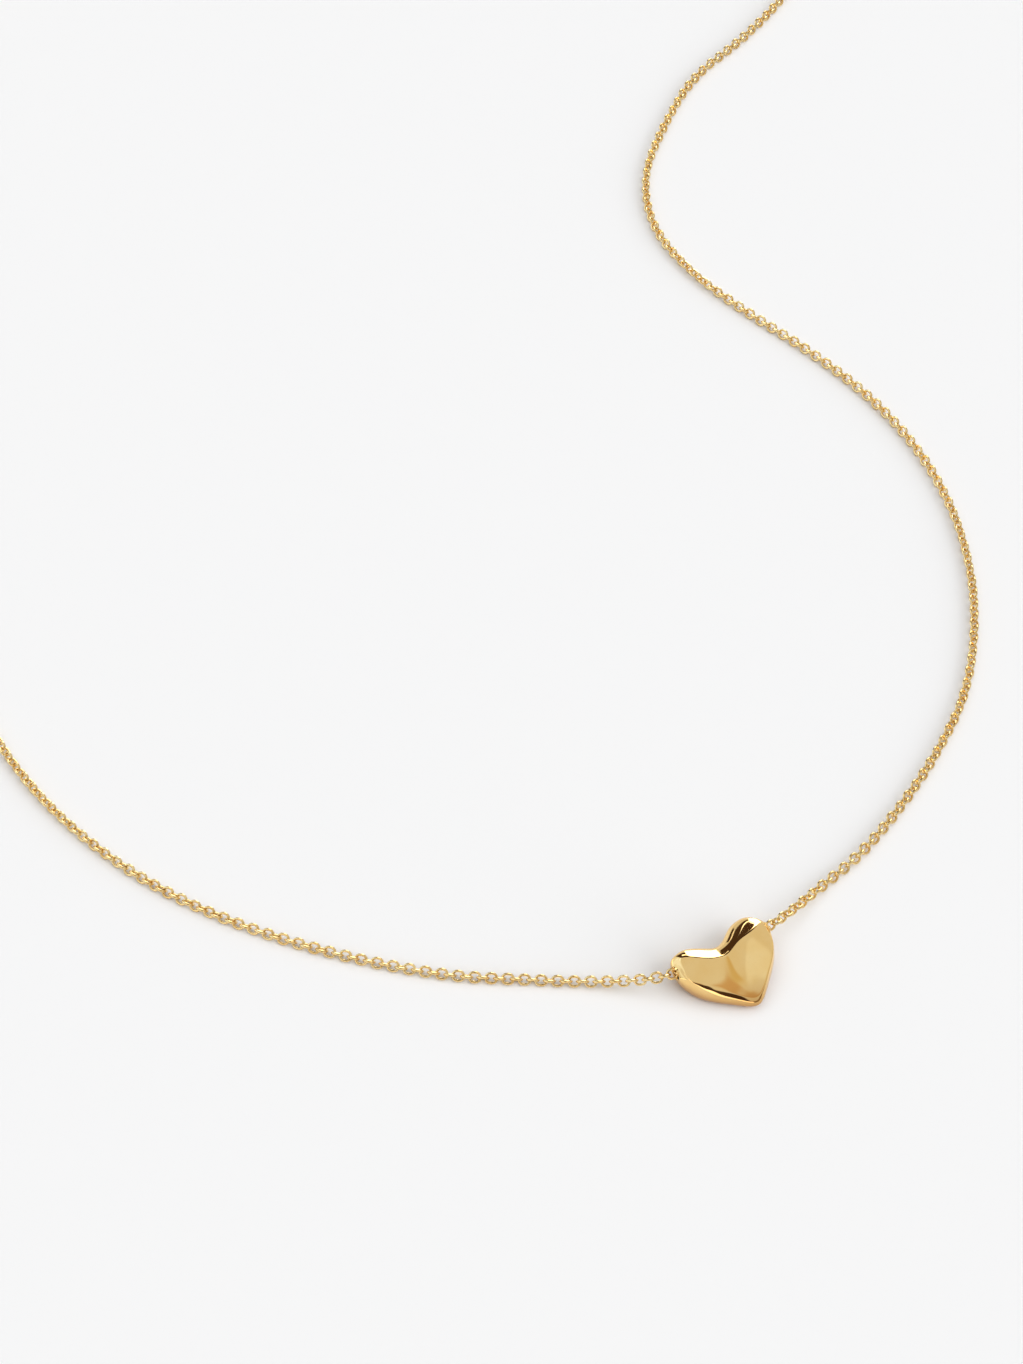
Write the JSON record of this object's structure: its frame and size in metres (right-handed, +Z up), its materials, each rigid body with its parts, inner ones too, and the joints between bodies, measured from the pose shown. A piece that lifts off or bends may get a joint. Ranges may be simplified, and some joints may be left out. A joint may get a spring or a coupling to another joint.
{
  "type": "heart pendant necklace",
  "caption": "Small puffed gold heart bead threaded on a fine trace chain, a closed loop with a ring clasp, lying flat in a loose open curve.",
  "frame": {"origin": "middle of the heart's flat back, on the surface that the necklace lies on", "axes": "+X along the heart's bore towards its right lobe, +Y from the heart's tip towards its lobes and on across the loop to the clasp, +Z up from the surface"},
  "size_m": [0.1324, 0.1617, 0.0037],
  "materials": {
    "heart_gold": "mirror polished yellow gold",
    "chain_gold": "polished yellow gold"
  },
  "bodies": {
    "root": {"heart": "heart_gold", "chain": "chain_gold", "clasp": "chain_gold", "end_ring": "chain_gold", "jump_ring": "chain_gold"}
  },
  "joints": []
}
